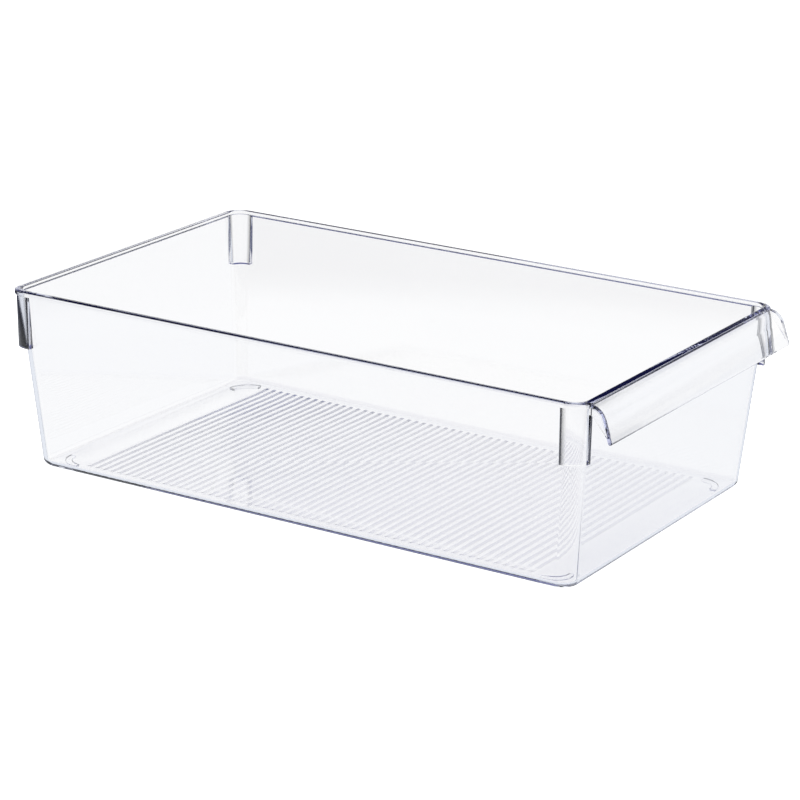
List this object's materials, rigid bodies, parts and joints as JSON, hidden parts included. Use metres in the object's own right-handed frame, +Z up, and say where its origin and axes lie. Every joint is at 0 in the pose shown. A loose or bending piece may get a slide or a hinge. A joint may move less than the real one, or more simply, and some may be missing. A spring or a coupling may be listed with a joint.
{
  "type": "fridge organizer",
  "caption": "Clear, open-topped fridge organizer with drafted walls, a rolled rim, a down-turned pull lip along its front, corner stop pads and a ribbed floor.",
  "frame": {"origin": "centre of the organizer's outline, at the undersides of its feet", "axes": "+Z up, +Y towards the back along the length, -Y towards the pull lip, +X to the right of someone who faces the lip"},
  "size_m": [0.216, 0.372, 0.1037],
  "materials": {
    "clear_plastic": "crystal-clear injection-moulded plastic, polished inside and out"
  },
  "bodies": {
    "root": {"tub": "clear_plastic", "rim": "clear_plastic", "pull_handle": "clear_plastic", "corner_pad_front_left": "clear_plastic", "corner_pad_front_right": "clear_plastic", "corner_pad_back_left": "clear_plastic", "corner_pad_back_right": "clear_plastic", "foot_front_left": "clear_plastic", "foot_front_right": "clear_plastic", "foot_back_left": "clear_plastic", "foot_back_right": "clear_plastic"}
  },
  "joints": []
}
